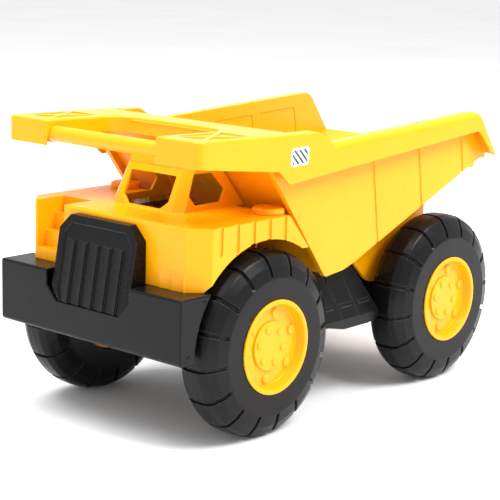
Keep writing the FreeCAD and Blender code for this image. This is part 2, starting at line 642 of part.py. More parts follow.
def rear_trim():
    """Keeps the body clear of the bed's front."""
    limit = [(bed_front_y(z) - 1.0, z) for z in (120.0, 300.0)]
    side = prism("X", limit + [(0, 300), (0, 120)], BODY_X - 20, BODY_X + 20)
    middle = prism("X", [(front_panel_y(z) - 1.5, z) for z in (120.0, 300.0)] + [(0, 300), (0, 120)],
                   -BODY_X, BODY_X)
    return joined([side, mirrored(side), middle])


def cab_floor():
    """Dark floor of the cab on four legs that stand on the chassis."""
    front, rear = CAB_FRONT + 7.5, BODY_REAR + 4
    plate = box((-46.5, 46.5), (front, rear), (CAB_FLOOR_Z - WALL, CAB_FLOOR_Z))
    legs = [rod_z(4.0, CAB_DECK_Z, CAB_FLOOR_Z - 1, side * 40.0, y)
            for side in (1, -1) for y in (front + 8, rear - 10)]
    ribs = [box((-46.5, 46.5), (y, y + 2), (CAB_FLOOR_Z - 10, CAB_FLOOR_Z - 1)) for y in (-150.0, -118.0)]
    return joined([plate] + legs + ribs)


def deck_cap(side):
    """Round plug on the rear corner of the deck."""
    top = DECK_Z + 6.0
    cap = Part.makeCone(CAP_DECK_R, CAP_DECK_R - 1.6, 1.6, V(side * CAP_DECK_X, CAP_DECK_Y, top - 1.6))
    stem = rod_z(CAP_DECK_R, DECK_Z, top - 1.6, side * CAP_DECK_X, CAP_DECK_Y)
    return cap.fuse(stem).removeSplitter()


# ---- bed ----
def rail_top(lower):
    """The rail's top edge from front to rear in (y, z), lowered by an amount."""
    return [(ARM_FRONT, ARM_TOP_FRONT - lower), (NOTCH_TOP_Y - lower * 0.3, ARM_TOP_REAR - lower),
            (NOTCH_FOOT[0], NOTCH_FOOT[1] - lower), (RAIL_PEAK[0] - lower * 0.4, RAIL_PEAK[1] - lower)]


def bed_side():
    """Outer side outline of the tub in (y, z)."""
    return [BED_FOOT, (-6.0, 146.6), FLOOR_BEND, FLOOR_TIP, RAIL_PEAK, NOTCH_FOOT,
            (NOTCH_TOP_Y, ARM_TOP_REAR), (HEADER_FRONT, HEADER_Z + 3),
             (bed_front_y(HEADER_Z - 2), HEADER_Z - 2)]


def floor_z(y):
    """Height of the floor's underside where it slopes up to the rear."""
    slope = (FLOOR_TIP[1] - FLOOR_BEND[1]) / (FLOOR_TIP[0] - FLOOR_BEND[0])
    return FLOOR_BEND[1] + (y - FLOOR_BEND[0]) * slope


def tub():
    """Sloping floor, two side walls and the set-back front panel."""
    shell = prism("X", bed_side(), -BED_X, BED_X, BED_ROUNDS)
    foot = BED_FOOT[1] + WALL
    lift, past = WALL * 1.07, FLOOR_TIP[0] + 20
    inside = [(front_panel_y(foot) + WALL * 1.2, foot), (-6.0, 146.6 + WALL),
              (FLOOR_BEND[0], FLOOR_BEND[1] + lift),
              (past, floor_z(past) + lift), (past, 340),
              (front_panel_y(340) + WALL * 1.2, 340)]
    shell = shell.cut(prism("X", inside, -BED_X + WALL, BED_X - WALL))
    ahead = [(front_panel_y(z), z) for z in (130.0, 340.0)] + [(-220, 340), (-220, 130)]
    return shell.cut(prism("X", ahead, -BED_X + 6, BED_X - 6))


def spandrel(start, across, down, radius):
    """Section of the cutter that rounds an edge; across and down point into the material."""
    inner, lower = start + across * radius, start + down * radius
    middle = start + (across + down) * (radius * (1 - math.sqrt(0.5)))
    corners = [lower, lower - across, start - across - down, inner - down, inner]
    edges = [Part.LineSegment(a, b).toShape() for a, b in zip(corners[:-1], corners[1:])]
    edges.append(Part.Arc(inner, middle, lower).toShape())
    return Part.Wire(edges)


def rail_rounding():
    """What is cut away to round the rail's outer top edge from the notch to the tip."""
    wire = outline("X", [(NOTCH_FOOT[0], 200), NOTCH_FOOT, RAIL_PEAK, rail_tip(), (rail_tip()[0], 200)],
                   RAIL_X, [0, 0, PEAK_ROUND, 0, 0])
    path = Part.Wire(wire.Edges[1:4])
    down = V(0, RAIL_PEAK[1] - NOTCH_FOOT[1], NOTCH_FOOT[0] - RAIL_PEAK[0]).normalize()
    section = spandrel(V(RAIL_X, *NOTCH_FOOT), -AXIS["X"], down, RAIL_ROUND)
    return path.makePipeShell([section], True, True)


def canopy_top(y):
    """Height of the canopy's sloping top."""
    return ARM_TOP_FRONT + (y - ARM_FRONT) * (ARM_TOP_REAR - ARM_TOP_FRONT) / (NOTCH_TOP_Y - ARM_FRONT)


def canopy_rounding():
    """What is cut away to round the canopy's top edge, from the header round the arm to its outer side."""
    corners = [(0, HEADER_FRONT), (ARM_IN, HEADER_FRONT), (ARM_IN, ARM_FRONT), (RAIL_X, ARM_FRONT),
               (RAIL_X, 0), (0, 0)]
    wire = outline("Z", corners, ARM_TOP_FRONT, [0, 22, 3, ARM_CORNER, 0, 0])
    path = Part.Wire(wire.Edges[:7])
    section = spandrel(V(0, HEADER_FRONT, ARM_TOP_FRONT), AXIS["Y"], -AXIS["Z"], CANOPY_ROUND)
    cutter = path.makePipeShell([section], True, False)
    slope = math.degrees(math.atan2(canopy_top(0) - ARM_TOP_FRONT, -ARM_FRONT))
    cutter.rotate(V(0, ARM_FRONT, ARM_TOP_FRONT), AXIS["X"], slope)
    return cutter


def arm_corner():
    """What is cut away to round the arm's outer front corner in plan."""
    r = ARM_CORNER
    block = box((RAIL_X - r, RAIL_X + 1), (ARM_FRONT - 1, ARM_FRONT + r), (250, 310))
    return block.cut(rod_z(r, 240, 320, RAIL_X - r, ARM_FRONT + r))


def rail_tip():
    """Rear lower end of the rail in (y, z)."""
    return FLOOR_TIP[0], FLOOR_TIP[1] + 0.5


def rail():
    """Left-hand rail: a flange that turns out and down along the whole top of the side."""
    tip = rail_tip()
    tip_in = (tip[0] - 9.0, tip[1] - 3.0)
    band = rail_top(0.0) + [tip, tip_in, SKIRT_REAR, SKIRT_FOOT, (-127.5, 261.7), (ARM_FRONT, 274.3)]
    block = prism("X", band, BED_X - WALL, RAIL_X, [2, 4, 5, PEAK_ROUND, 2, 2, 8, 3, 3, 2])
    hollow = rail_top(WALL) + [(tip[0] - 4.5, tip[1] - 1), (tip_in[0] + 2, tip_in[1] - 30),
                               (SKIRT_REAR[0], 200), (ARM_FRONT + WALL, 200)]
    hollow[0] = (ARM_FRONT + WALL, hollow[0][1])
    cavity = prism("X", hollow, BED_X, RAIL_X - WALL, [0, 3, 4, PEAK_ROUND - WALL, 0, 0, 0, 0])
    block = block.cut(rail_rounding()).cut(cavity)
    inside = box((BED_X - WALL - 1, BED_X), (HEADER_FRONT, 400), (0, 400))
    wall = prism("X", bed_side(), BED_X - WALL, BED_X, BED_ROUNDS)
    return block.cut(inside).fuse(wall).removeSplitter()


def arm():
    """Left-hand canopy arm: a hollow box end beside the hand gap, with a sunk cross on top."""
    plan = [(ARM_IN, ARM_FRONT), (RAIL_X, ARM_FRONT), (RAIL_X, HEADER_REAR), (0, HEADER_REAR),
            (0, HEADER_FRONT), (ARM_IN, HEADER_FRONT)]
    solid = prism("Z", plan, 240, 320, [3, ARM_CORNER, 0, 0, 0, 22])
    upper = [(ARM_FRONT - 1, 274.3), (ARM_FRONT - 1, canopy_top(ARM_FRONT - 1)),
             (HEADER_REAR + 1, canopy_top(HEADER_REAR + 1)), (HEADER_REAR + 1, 262.0)]
    solid = solid.common(prism("X", upper, -1, RAIL_X))
    cavity_plan = [(ARM_IN + WALL, ARM_FRONT + WALL), (RAIL_X - WALL, ARM_FRONT + WALL),
                   (RAIL_X - WALL, HEADER_REAR + 5), (-5, HEADER_REAR + 5), (-5, HEADER_FRONT + WALL),
                   (ARM_IN + WALL, HEADER_FRONT + WALL)]
    cavity = prism("Z", cavity_plan, 230, 320, [1, 5, 0, 0, 0, 19])
    below = [(ARM_FRONT - 5, 230), (ARM_FRONT - 5, canopy_top(ARM_FRONT - 5) - WALL),
             (HEADER_REAR + 5, canopy_top(HEADER_REAR + 5) - WALL), (HEADER_REAR + 5, 230)]
    cavity = cavity.common(prism("X", below, -6, RAIL_X))
    solid = solid.cut(cavity)
    under = prism("X", [(HEADER_FRONT - 20, 200), (HEADER_FRONT - 20, HEADER_Z - 11),
                        (HEADER_REAR + 10, HEADER_Z - 11), (HEADER_REAR + 10, 200)], -5, ARM_IN - 6)
    beside = box((ARM_IN - 7, RAIL_X - 10), (ARM_FRONT + WALL, HEADER_REAR + 10), (200, ARM_SKIRT_Z))
    return solid.cut(under).cut(beside)


def arm_cross():
    """The sunk square with two crossing ribs on top of the left-hand arm."""
    field = prism("Z", [(84, -222), (124, -222), (124, -160), (84, -160)], 250, 320, [3] * 4)
    sink = 1.4
    level = [(-230, canopy_top(-230) - sink), (-230, 320), (-150, 320), (-150, canopy_top(-150) - sink)]
    field = field.common(prism("X", level, 70, 140))
    cross = []
    for ends in (((86, -224), (124, -162)), ((122, -224), (84, -162))):
        (x0, y0), (x1, y1) = ends
        length = math.hypot(x1 - x0, y1 - y0)
        bar = Part.makeBox(length + 8, 5.0, 60, V(-4, -2.5, 260))
        bar.rotate(V(0, 0, 0), V(0, 0, 1), math.degrees(math.atan2(y1 - y0, x1 - x0)))
        bar.translate(V(x0, y0, 0))
        cross.append(bar)
    return field.cut(joined(cross))


def bed_ear():
    """Left-hand hinge cheek under the bed, inside the rear wheel."""
    rear = HINGE_Y + 19
    corners = [(36.5, floor_z(36.5) + 1), (60.3, 138.0), (87.3, 113.0), (HINGE_Y - 4, HINGE_Z - 14),
               (rear, HINGE_Z - 14), (rear, floor_z(rear) + 1)]
    plate = prism("X", corners, EAR_IN, EAR_OUT, [0, 0, 20, 4, 14, 0])
    collar = rod_x(11.0, EAR_IN, EAR_OUT + 0.7, HINGE_Y, HINGE_Z)
    rib = box((EAR_IN - 14, EAR_IN + 1), (HINGE_Y + 16, HINGE_Y + 19),
              (HINGE_Z + 40, floor_z(HINGE_Y + 16)))
    hole = rod_x(AXLE_R + RUNNING, EAR_IN - 1, EAR_OUT + 2, HINGE_Y, HINGE_Z)
    return joined([plate, collar, rib]).cut(hole)


def rib_y(rib, z):
    """Where a leaning rib's middle is at a height, the rib being named by its y at the middle."""
    return rib + (z - 220.0) * RIB_LEAN


def side_grooves():
    """Shallow upright grooves on the outside of the left-hand side wall."""
    cuts = []
    for rib in BED_RIBS:
        low, high = rib_y(rib, 150), rib_y(rib, 290)
        strip = [(low - 2.5, 150), (low + 2.5, 150), (high + 2.5, 290), (high - 2.5, 290)]
        cuts.append(prism("X", strip, BED_X - 1.2, BED_X + 1))
    return joined(cuts)


def wall_panels():
    """Shallow sunk panels between the ribs on the inside of the left-hand side wall."""
    rise = (RAIL_PEAK[1] - NOTCH_FOOT[1]) / (RAIL_PEAK[0] - NOTCH_FOOT[0])
    edges = (-32.0,) + BED_RIBS
    cuts = []
    for left, right in zip(edges[:-1], edges[1:]):
        low = floor_z(max(left, FLOOR_BEND[0])) + 14.0
        y0, y1 = rib_y(left, low) + 7.0, rib_y(right, low + 20) - 7.0
        top = NOTCH_FOOT[1] - 15.0
        corners = [(y0, low), (y1, max(floor_z(y1) + 12.0, low)),
                   (y1 - 8.0, top + (y1 - NOTCH_FOOT[0]) * rise),
                   (y0 - 8.0, top + (y0 - NOTCH_FOOT[0]) * rise)]
        cuts.append(prism("X", corners, BED_X - WALL - 1, BED_X - WALL + 0.8, [3] * 4))
    return joined(cuts)


def floor_ribs():
    """Cross ribs under the rear of the floor."""
    ribs = []
    for y in (222.0, 244.0):
        z = floor_z(y)
        section = [(y - 4, z - 1.0), (y + 2, z - 3.6), (y + 5, z - 1.6), (y + 4, z + 2.5), (y - 4, z)]
        ribs.append(prism("X", section, -BED_X, BED_X))
    return joined(ribs)


def dump_bed():
    """Tub, rails, canopy arms, header and hinge cheeks moulded as one piece."""
    half = joined([rail(), arm().common(box((0, 200), (-400, 400), (0, 400))), bed_ear()])
    ledge_lip = box((0, BED_X - 1), (HEADER_REAR - WALL, HEADER_REAR), (HEADER_Z - 8, HEADER_Z + 2.5))
    half = half.fuse(ledge_lip)
    half = half.cut(joined([side_grooves(), arm_cross()])).cut(arm_corner()).cut(canopy_rounding())
    socket = rod_x(BAR_R, ARM_IN - 1, ARM_IN + WALL + 1, BAR_Y, BAR_Z)
    half = half.cut(socket)
    bed = joined([tub(), half, mirrored(half), floor_ribs()])
    return bed.cut(both(wall_panels())).cut(both(side_grooves())).removeSplitter()


def canopy_bar():
    """Round carrying handle between the canopy arms."""
    end = ARM_IN + WALL
    return rod_x(BAR_R, -end, end, BAR_Y, BAR_Z)


def hinge_pin():
    """Steel rod that the bed tips on."""
    return rod_x(AXLE_R, -84.4, 84.4, HINGE_Y, HINGE_Z)


def hinge_caps():
    """Push caps on the ends of the hinge pin."""
    start = EAR_OUT + 0.7 + PLAY
    rings = ring_pair(PIN_CAP_R, AXLE_R, start, 84.4, HINGE_Y, HINGE_Z)
    lid = rod_x(PIN_CAP_R, 84.4, 85.4, HINGE_Y, HINGE_Z)
    return Part.makeCompound([r.fuse(d).removeSplitter() for r, d in zip(rings, (lid, mirrored(lid)))])


def decal(side):
    """Thin rounded label on the canopy's outer face."""
    corners = [(-112, 264.5), (-85, 265.5), (-85, 283.5), (-112, 282.5)]
    plate = prism("X", corners, RAIL_X, RAIL_X + 0.4, [4] * 4)
    return plate if side > 0 else mirrored(plate)


def main():
    """Write every node."""
    os.makedirs("parts", exist_ok=True)
    wheels = {"front": FRONT_AXLE_Y, "rear": REAR_AXLE_Y}
    for end, axle_y in wheels.items():
        pieces = {"tyre": tyre(axle_y), "hub": hub(axle_y), "hub_cap": hub_cap(axle_y)}
        for kind, shape in pieces.items():
            save(kind + "_" + end + "_left", shape)
            save(kind + "_" + end + "_right", mirrored(shape))
        save("axle_" + end, axle(axle_y))
    save("axle_sleeves", axle_sleeves())
    save("axle_nuts", axle_nuts())
    save("chassis_frame", chassis_frame())
    save("chassis_cover", chassis_cover())
    save("cover_screws", cover_screws())
    save("body_screws", body_screws())
    save("bumper_screws", bumper_screws())
    save("front_bumper", bumper())
    save("grille", grille())
    save("cab_body", cab_body())
    save("cab_floor", cab_floor())
    step = side_step()
    for name, side in SIDES.items():
        save("side_step_" + name, step if side > 0 else mirrored(step))
        save("deck_cap_" + name, deck_cap(side))
        save("decal_" + name, decal(side))
    save("dump_bed", dump_bed())
    save("canopy_bar", canopy_bar())
    save("hinge_pin", hinge_pin())
    save("hinge_caps", hinge_caps())


main()
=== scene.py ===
"""Toy dump truck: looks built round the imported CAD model.

Metres, in the CAD model's frame.  The truck drives towards -Y, its left side is +X, the ground is z = 0.
"""

import json
import math

import bmesh
import bpy
from mathutils import Matrix, Vector


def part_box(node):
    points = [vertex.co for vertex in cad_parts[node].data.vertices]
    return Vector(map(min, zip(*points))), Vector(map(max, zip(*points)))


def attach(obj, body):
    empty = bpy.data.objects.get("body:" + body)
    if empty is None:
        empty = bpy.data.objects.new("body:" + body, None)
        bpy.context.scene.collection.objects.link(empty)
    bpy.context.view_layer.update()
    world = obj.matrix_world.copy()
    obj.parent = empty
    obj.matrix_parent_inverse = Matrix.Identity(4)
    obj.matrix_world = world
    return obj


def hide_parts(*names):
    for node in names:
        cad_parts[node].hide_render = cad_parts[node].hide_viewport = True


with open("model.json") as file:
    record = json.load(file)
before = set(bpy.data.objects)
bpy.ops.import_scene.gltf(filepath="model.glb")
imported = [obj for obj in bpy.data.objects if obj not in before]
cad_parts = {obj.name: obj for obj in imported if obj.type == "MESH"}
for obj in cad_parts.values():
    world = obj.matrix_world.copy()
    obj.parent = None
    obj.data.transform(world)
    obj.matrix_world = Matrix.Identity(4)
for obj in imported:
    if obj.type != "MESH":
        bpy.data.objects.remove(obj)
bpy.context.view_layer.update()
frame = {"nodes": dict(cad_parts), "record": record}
MM = 0.001
CORNERS = ("front_left", "front_right", "rear_left", "rear_right")


# ---- materials ----
class Nodes:
    """Short calls for building one material's node tree."""

    def __init__(self, name):
        self.material = bpy.data.materials.new(name)
        self.material.use_nodes = True
        self.tree = self.material.node_tree
        self.shader = self.tree.nodes["Principled BSDF"]
        self.place = self.tree.nodes.new("ShaderNodeTexCoord").outputs["Object"]

    def node(self, kind, **inputs):
        made = self.tree.nodes.new("ShaderNode" + kind)
        for name, value in inputs.items():
            socket = made.inputs[int(name[1:]) if name[0] == "i" and name[1:].isdigit() else name]
            self.put(value, socket)
        return made

    def put(self, value, socket):
        if isinstance(value, bpy.types.NodeSocket):
            self.tree.links.new(value, socket)
        else:
            socket.default_value = value

    def math(self, operation, a, b=0.0, clamp=False):
        made = self.tree.nodes.new("ShaderNodeMath")
        made.operation, made.use_clamp = operation, clamp
        self.put(a, made.inputs[0])
        self.put(b, made.inputs[1])
        return made.outputs[0]

    def noise(self, scale, detail=3.0, rough=0.5, stretch=None):
        vector = self.place
        if stretch:
            vector = self.node("Mapping", Vector=vector, Scale=stretch).outputs[0]
        return self.node("TexNoise", Vector=vector, Scale=scale, Detail=detail, Roughness=rough).outputs["Fac"]

    def ramp(self, value, low, high, out_low=0.0, out_high=1.0):
        made = self.node("MapRange", Value=value, **{"From Min": low, "From Max": high, "To Min": out_low,
                                                    "To Max": out_high})
        made.interpolation_type = "SMOOTHSTEP"
        return made.outputs[0]

    def mix(self, share, first, second):
        made = self.tree.nodes.new("ShaderNodeMix")
        made.data_type = "RGBA"
        self.put(share, made.inputs[0])
        self.put(first, made.inputs[6])
        self.put(second, made.inputs[7])
        return made.outputs[2]

    def bump(self, height, strength, distance, normal=None):
        made = self.node("Bump", Height=height, Strength=strength, Distance=distance)
        if normal:
            self.put(normal, made.inputs["Normal"])
        return made.outputs[0]


def scratches(n, scale):
    """Thin, sparse lines in two directions, 1 on a scratch."""
    marks = []
    for turn in (0.35, 1.9):
        vector = n.node("Mapping", Vector=n.place, Rotation=(turn, turn * 0.7, turn * 1.3),
                        Scale=(1.0, 14.0, 3.0)).outputs[0]
        line = n.node("TexNoise", Vector=vector, Scale=scale, Detail=1.0, Roughness=0.4).outputs["Fac"]
        marks.append(n.ramp(n.math("ABSOLUTE", n.math("SUBTRACT", line, 0.5)), 0.0, 0.006, 1.0, 0.0))
    where = n.ramp(n.noise(9.0, 2.0), 0.52, 0.68)
    return n.math("MULTIPLY", n.math("MAXIMUM", marks[0], marks[1]), where, True)


def edges_of(n, soft):
    """1 where the softened normal leaves the surface's own, so along every edge."""
    turned_by = n.node("VectorMath", i0=soft, i1=n.node("NewGeometry").outputs["Normal"])
    turned_by.operation = "DOT_PRODUCT"
    return n.ramp(turned_by.outputs["Value"], 0.90, 0.985, 1.0, 0.0)


def moulded_plastic(name, colour, deep, pale, rough, grain, gloss, coat=0.0, scatter=0.0):
    """Injection-moulded plastic: cloudy tone, fine grain, faint scuffs and painted highlights along every edge."""
    n = Nodes(name)
    cloud = n.ramp(n.noise(7.0, 4.0, 0.55), 0.32, 0.68)
    speck = n.ramp(n.noise(420.0, 2.0), 0.42, 0.62)
    base = n.mix(n.math("MULTIPLY", cloud, 0.6), deep, colour)
    base = n.mix(n.math("MULTIPLY", speck, 0.02), base, pale)
    marks = scratches(n, 26.0)
    soft = n.node("Bevel", Radius=0.0011).outputs["Normal"]
    # Painted highlight: every edge, convex and concave, is lightened towards the pale colour, and the faint scuffs
    # are mixed in.
    edge_sheen_and_scuffs = n.math("MAXIMUM", n.math("MULTIPLY", edges_of(n, soft), 0.8), n.math("MULTIPLY", marks, 0.1), True)
    base = n.mix(edge_sheen_and_scuffs, base, pale)
    n.put(base, n.shader.inputs["Base Color"])
    patch = n.ramp(n.noise(16.0, 5.0, 0.6), 0.3, 0.7, rough - 0.05, rough + 0.06)
    n.put(n.math("ADD", patch, n.math("MULTIPLY", marks, 0.15)), n.shader.inputs["Roughness"])
    fine = n.bump(n.noise(grain, 3.0, 0.6), 0.22, 0.00025, soft)
    waves = n.bump(n.noise(30.0, 2.0), 0.10, 0.0006, fine)
    n.put(n.bump(n.math("SUBTRACT", 1.0, marks), 0.15, 0.0001, waves), n.shader.inputs["Normal"])
    n.shader.inputs["IOR"].default_value = 1.49
    n.shader.inputs["Specular IOR Level"].default_value = gloss
    n.shader.inputs["Coat Weight"].default_value = coat
    n.shader.inputs["Coat Roughness"].default_value = 0.12
    if scatter:
        n.shader.inputs["Subsurface Weight"].default_value = scatter
        n.shader.inputs["Subsurface Radius"].default_value = (0.0016, 0.0007, 0.0002)
        n.shader.inputs["Subsurface Scale"].default_value = 1.0
    return n.material


def steel():
    """Zinc-plated steel with faint turning lines."""
    n = Nodes("zinc_plated_steel")
    lines = n.noise(60.0, 3.0, 0.6, (40.0, 1.0, 1.0))
    base = n.mix(n.ramp(lines, 0.3, 0.7), (0.42, 0.43, 0.45, 1), (0.66, 0.67, 0.68, 1))
    n.put(base, n.shader.inputs["Base Color"])
    n.shader.inputs["Metallic"].default_value = 1.0
    n.put(n.ramp(n.noise(90.0, 3.0), 0.3, 0.7, 0.25, 0.42), n.shader.inputs["Roughness"])
    n.put(n.bump(lines, 0.2, 0.0001), n.shader.inputs["Normal"])
    return n.material


def label_print():
    """Generic diagonal hazard stripes inside a plain border, printed on gloss film."""
    n = Nodes("label_film")
    axes = n.node("SeparateXYZ", Vector=n.place)
    y, z = axes.outputs["Y"], axes.outputs["Z"]
    slant = n.math("ADD", n.math("MULTIPLY", y, 1.0), z)
    wave = n.math("FRACT", n.math("MULTIPLY", slant, 1 / 0.0074))
    stripe = n.ramp(n.math("ABSOLUTE", n.math("SUBTRACT", wave, 0.5)), 0.24, 0.26)
    colour = n.mix(stripe, (0.02, 0.022, 0.026, 1), (0.88, 0.88, 0.86, 1))
    across = n.math("ABSOLUTE", n.math("SUBTRACT", y, LABEL_MIDDLE[0]))
    tilt = n.math("MULTIPLY", n.math("SUBTRACT", y, LABEL_MIDDLE[0]), LABEL_RISE)
    up = n.math("ABSOLUTE", n.math("SUBTRACT", n.math("SUBTRACT", z, LABEL_MIDDLE[1]), tilt))
    border = n.math("MAXIMUM", n.ramp(across, 0.0112, 0.0115), n.ramp(up, 0.0068, 0.0071), True)
    colour = n.mix(border, colour, (0.86, 0.86, 0.84, 1))
    fade = n.ramp(n.noise(220.0, 3.0), 0.35, 0.75, 0.0, 0.12)
    colour = n.mix(fade, colour, (0.62, 0.60, 0.55, 1))
    n.put(colour, n.shader.inputs["Base Color"])
    n.put(n.ramp(n.noise(60.0, 3.0), 0.3, 0.7, 0.16, 0.28), n.shader.inputs["Roughness"])
    n.put(n.bump(n.noise(900.0, 2.0), 0.1, 0.0001), n.shader.inputs["Normal"])
    return n.material


def floor_finish():
    """Matt white studio sweep."""
    n = Nodes("studio_floor")
    base = n.mix(n.ramp(n.noise(2.0, 3.0), 0.3, 0.7), (0.90, 0.90, 0.90, 1), (0.93, 0.93, 0.93, 1))
    n.put(base, n.shader.inputs["Base Color"])
    n.put(n.ramp(n.noise(30.0, 3.0), 0.3, 0.7, 0.75, 0.9), n.shader.inputs["Roughness"])
    return n.material


low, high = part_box("decal_left")
LABEL_MIDDLE = ((low.y + high.y) / 2, (low.z + high.z) / 2)
LABEL_RISE = 1.0 / 27.0
YELLOW = moulded_plastic("yellow_plastic", (0.95, 0.405, 0.002, 1), (0.93, 0.365, 0.001, 1), (1.0, 0.56, 0.05, 1),
                         0.27, 1500.0, 0.24, 0.04, 0.04)
BLACK = moulded_plastic("black_plastic", (0.0062, 0.0062, 0.0064, 1), (0.0042, 0.0042, 0.0044, 1),
                        (0.075, 0.075, 0.078, 1), 0.26, 1300.0, 0.15)
TYRE = moulded_plastic("tyre_plastic", (0.0056, 0.0056, 0.0058, 1), (0.0038, 0.0038, 0.0040, 1),
                       (0.070, 0.070, 0.073, 1), 0.28, 900.0, 0.17)
STEEL = steel()
LABEL = label_print()
FINISH = {"yellow_plastic": YELLOW, "black_plastic": BLACK, "tyre_plastic": TYRE, "steel": STEEL, "decal": LABEL}


# ---- pieces ----
def body_of(node):
    """The body that a CAD node rides on."""
    for body, members in frame["record"]["behaviour"]["bodies"].items():
        if node in members:
            return body
    raise ValueError(node)


def slot_of(node):
    """The material slot of a CAD node."""
    return next(s["material_slot"] for s in frame["record"]["subparts"] if s["node"] == node)


def piece(name, mesh, *nodes):
    """A new visible piece that stands for CAD nodes and rides where they do."""
    for polygon in mesh.polygons:
        polygon.use_smooth = True
    made = bpy.data.objects.new(name, mesh)
    bpy.context.scene.collection.objects.link(made)
    mesh.materials.clear()
    mesh.materials.append(FINISH[slot_of(nodes[0])])
    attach(made, body_of(nodes[0]))
    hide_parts(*nodes)
    return made


def baked(made):
    """Apply the piece's modifiers to its mesh."""
    evaluated = made.evaluated_get(bpy.context.evaluated_depsgraph_get())
    mesh = bpy.data.meshes.new_from_object(evaluated)
    made.modifiers.clear()
    old, made.data = made.data, mesh
    bpy.data.meshes.remove(old)
    return made


def room(edge, width):
    """Share of the full rounding that fits on an edge, from the short edges that cross its ends."""
    along = (edge.verts[1].co - edge.verts[0].co).normalized()
    free = width / 0.42
    for vert in edge.verts:
        for other in vert.link_edges:
            if other is edge or not set(other.link_faces) & set(edge.link_faces):
                continue
            line = other.verts[1].co - other.verts[0].co
            if line.length > 1e-9 and abs(line.normalized().dot(along)) < 0.8:
                free = min(free, line.length)
    return max(0.05, min(1.0, 0.42 * free / width))


def bevelled(mesh, width, segments):
    """The mesh with its weighted edges rounded, as a new mesh."""
    made = bpy.data.objects.new("bevelled", mesh)
    bpy.context.scene.collection.objects.link(made)
    bevel = made.modifiers.new("round", "BEVEL")
    bevel.limit_method, bevel.width, bevel.segments = "WEIGHT", width, segments
    bevel.use_clamp_overlap, bevel.loop_slide = False, False
    result = bpy.data.meshes.new_from_object(made.evaluated_get(bpy.context.evaluated_depsgraph_get()))
    bpy.data.objects.remove(made)
    return result


def cleaned(node):
    """A CAD node's shape as a bmesh whose flat faces are whole again."""
    bm = bmesh.new()
    bm.from_mesh(frame["nodes"][node].data)
    bmesh.ops.remove_doubles(bm, verts=bm.verts, dist=4e-6)
    bmesh.ops.dissolve_degenerate(bm, edges=bm.edges, dist=4e-6)
    bmesh.ops.dissolve_limit(bm, angle_limit=math.radians(0.5), verts=bm.verts, edges=bm.edges)
    return bm


def even_normals(made):
    """Weight the normals towards the large faces, so that flat areas stay flat."""
    normals = made.modifiers.new("normals", "WEIGHTED_NORMAL")
    normals.keep_sharp, normals.weight = True, 80
    return baked(made)


def rounded(node, width, segments=2, sharp=26.0):
    """A CAD node's shape with its sharp edges rounded, less where there is little room."""
    bm = cleaned(node)
    weight = bm.edges.layers.float.new("bevel_weight_edge")
    for edge in bm.edges:
        if len(edge.link_faces) == 2 and edge.calc_face_angle(0.0) > math.radians(sharp):
            edge[weight] = room(edge, width)
    mesh = bpy.data.meshes.new(node + "_shell")
    bm.to_mesh(mesh)
    bm.free()
    return even_normals(piece(node + "_shell", bevelled(mesh, width, segments), node))


def moulded(node, sharp=30.0):
    """A CAD node's own shape, smooth over its rounded edges."""
    made = piece(node + "_shell", frame["nodes"][node].data.copy(), node)
    shade_by_angle(made, sharp)
    return even_normals(made)


def revolve_rows(rows, closed=True):
    """A mesh from rows of points that all have the same count, joined round and row to row."""
    count = len(rows[0])
    verts = [p for row in rows for p in row]
    faces = []
    for i in range(len(rows) if closed else len(rows) - 1):
        j = (i + 1) % len(rows)
        for k in range(count):
            m = (k + 1) % count
            faces.append((i * count + k, i * count + m, j * count + m, j * count + k))
    return verts, faces


def fillet(corners, radii, steps=4):
    """A closed 2-D outline with arcs at its corners."""
    points = []
    count = len(corners)
    for i, corner in enumerate(corners):
        here = Vector(corner)
        before, after = Vector(corners[i - 1]) - here, Vector(corners[(i + 1) % count]) - here
        radius = radii[i]
        if radius <= 0:
            points.append(here)
            continue
        half = before.angle(after) / 2
        reach = min(radius / math.tan(half), before.length * 0.49, after.length * 0.49)
        radius = reach * math.tan(half)
        centre = here + (before.normalized() + after.normalized()).normalized() * (radius / math.sin(half))
        start, end = here + before.normalized() * reach - centre, here + after.normalized() * reach - centre
        sweep = start.angle_signed(end)
        for k in range(steps + 1):
            turn = Matrix.Rotation(-sweep * k / steps, 2)
            points.append(centre + turn @ start)
    return points


def mesh_of(name, verts, faces):
    """A clean closed mesh with outward normals."""
    mesh = bpy.data.meshes.new(name)
    bm = bmesh.new()
    made = [bm.verts.new(v) for v in verts]
    for face in faces:
        bm.faces.new([made[i] for i in face])
    bmesh.ops.remove_doubles(bm, verts=bm.verts, dist=1e-6)
    bmesh.ops.recalc_face_normals(bm, faces=bm.faces)
    bm.to_mesh(mesh)
    bm.free()
    return mesh


# ---- tyres ----
LUGS, LUG_PHASE = 16, 6.0
GROOVE = {"half": 2.2, "depth": 3.1, "end": 69.0}
TYRE_X, TYRE_R, RIM_R = (88.0, 138.0), 92.5, 46.2


def tyre_profile():
    """Half of the tyre's outline as (x from the middle plane, radius), from the bore to the crown."""
    half = (TYRE_X[1] - TYRE_X[0]) / 2
    corners = [(0, RIM_R), (half - 0.9, RIM_R), (half, RIM_R + 1.2), (half, 68.0), (21.8, 79.5), (16.0, 88.8),
               (9.0, TYRE_R - 0.45), (0, TYRE_R - 0.2)]
    points = fillet(corners, [0, 0.5, 0.8, 5.0, 3.5, 4.0, 8.0, 0], 5)
    return points


def densified(points, step):
    """The open line with no run longer than the step."""
    out = [points[0]]
    for a, b in zip(points[:-1], points[1:]):
        pieces = max(1, math.ceil((b - a).length / step))
        out += [a.lerp(b, k / pieces) for k in range(1, pieces + 1)]
    return out


def smooth(value, low, high):
    """0 below low, 1 above high, smooth between."""
    t = min(1.0, max(0.0, (value - low) / (high - low)))
    return t * t * (3 - 2 * t)


GROOVE_STEPS = (-2.9, -2.55, -2.35, -2.2, -2.0, -1.7, 0.0, 1.7, 2.0, 2.2, 2.35, 2.55, 2.9)


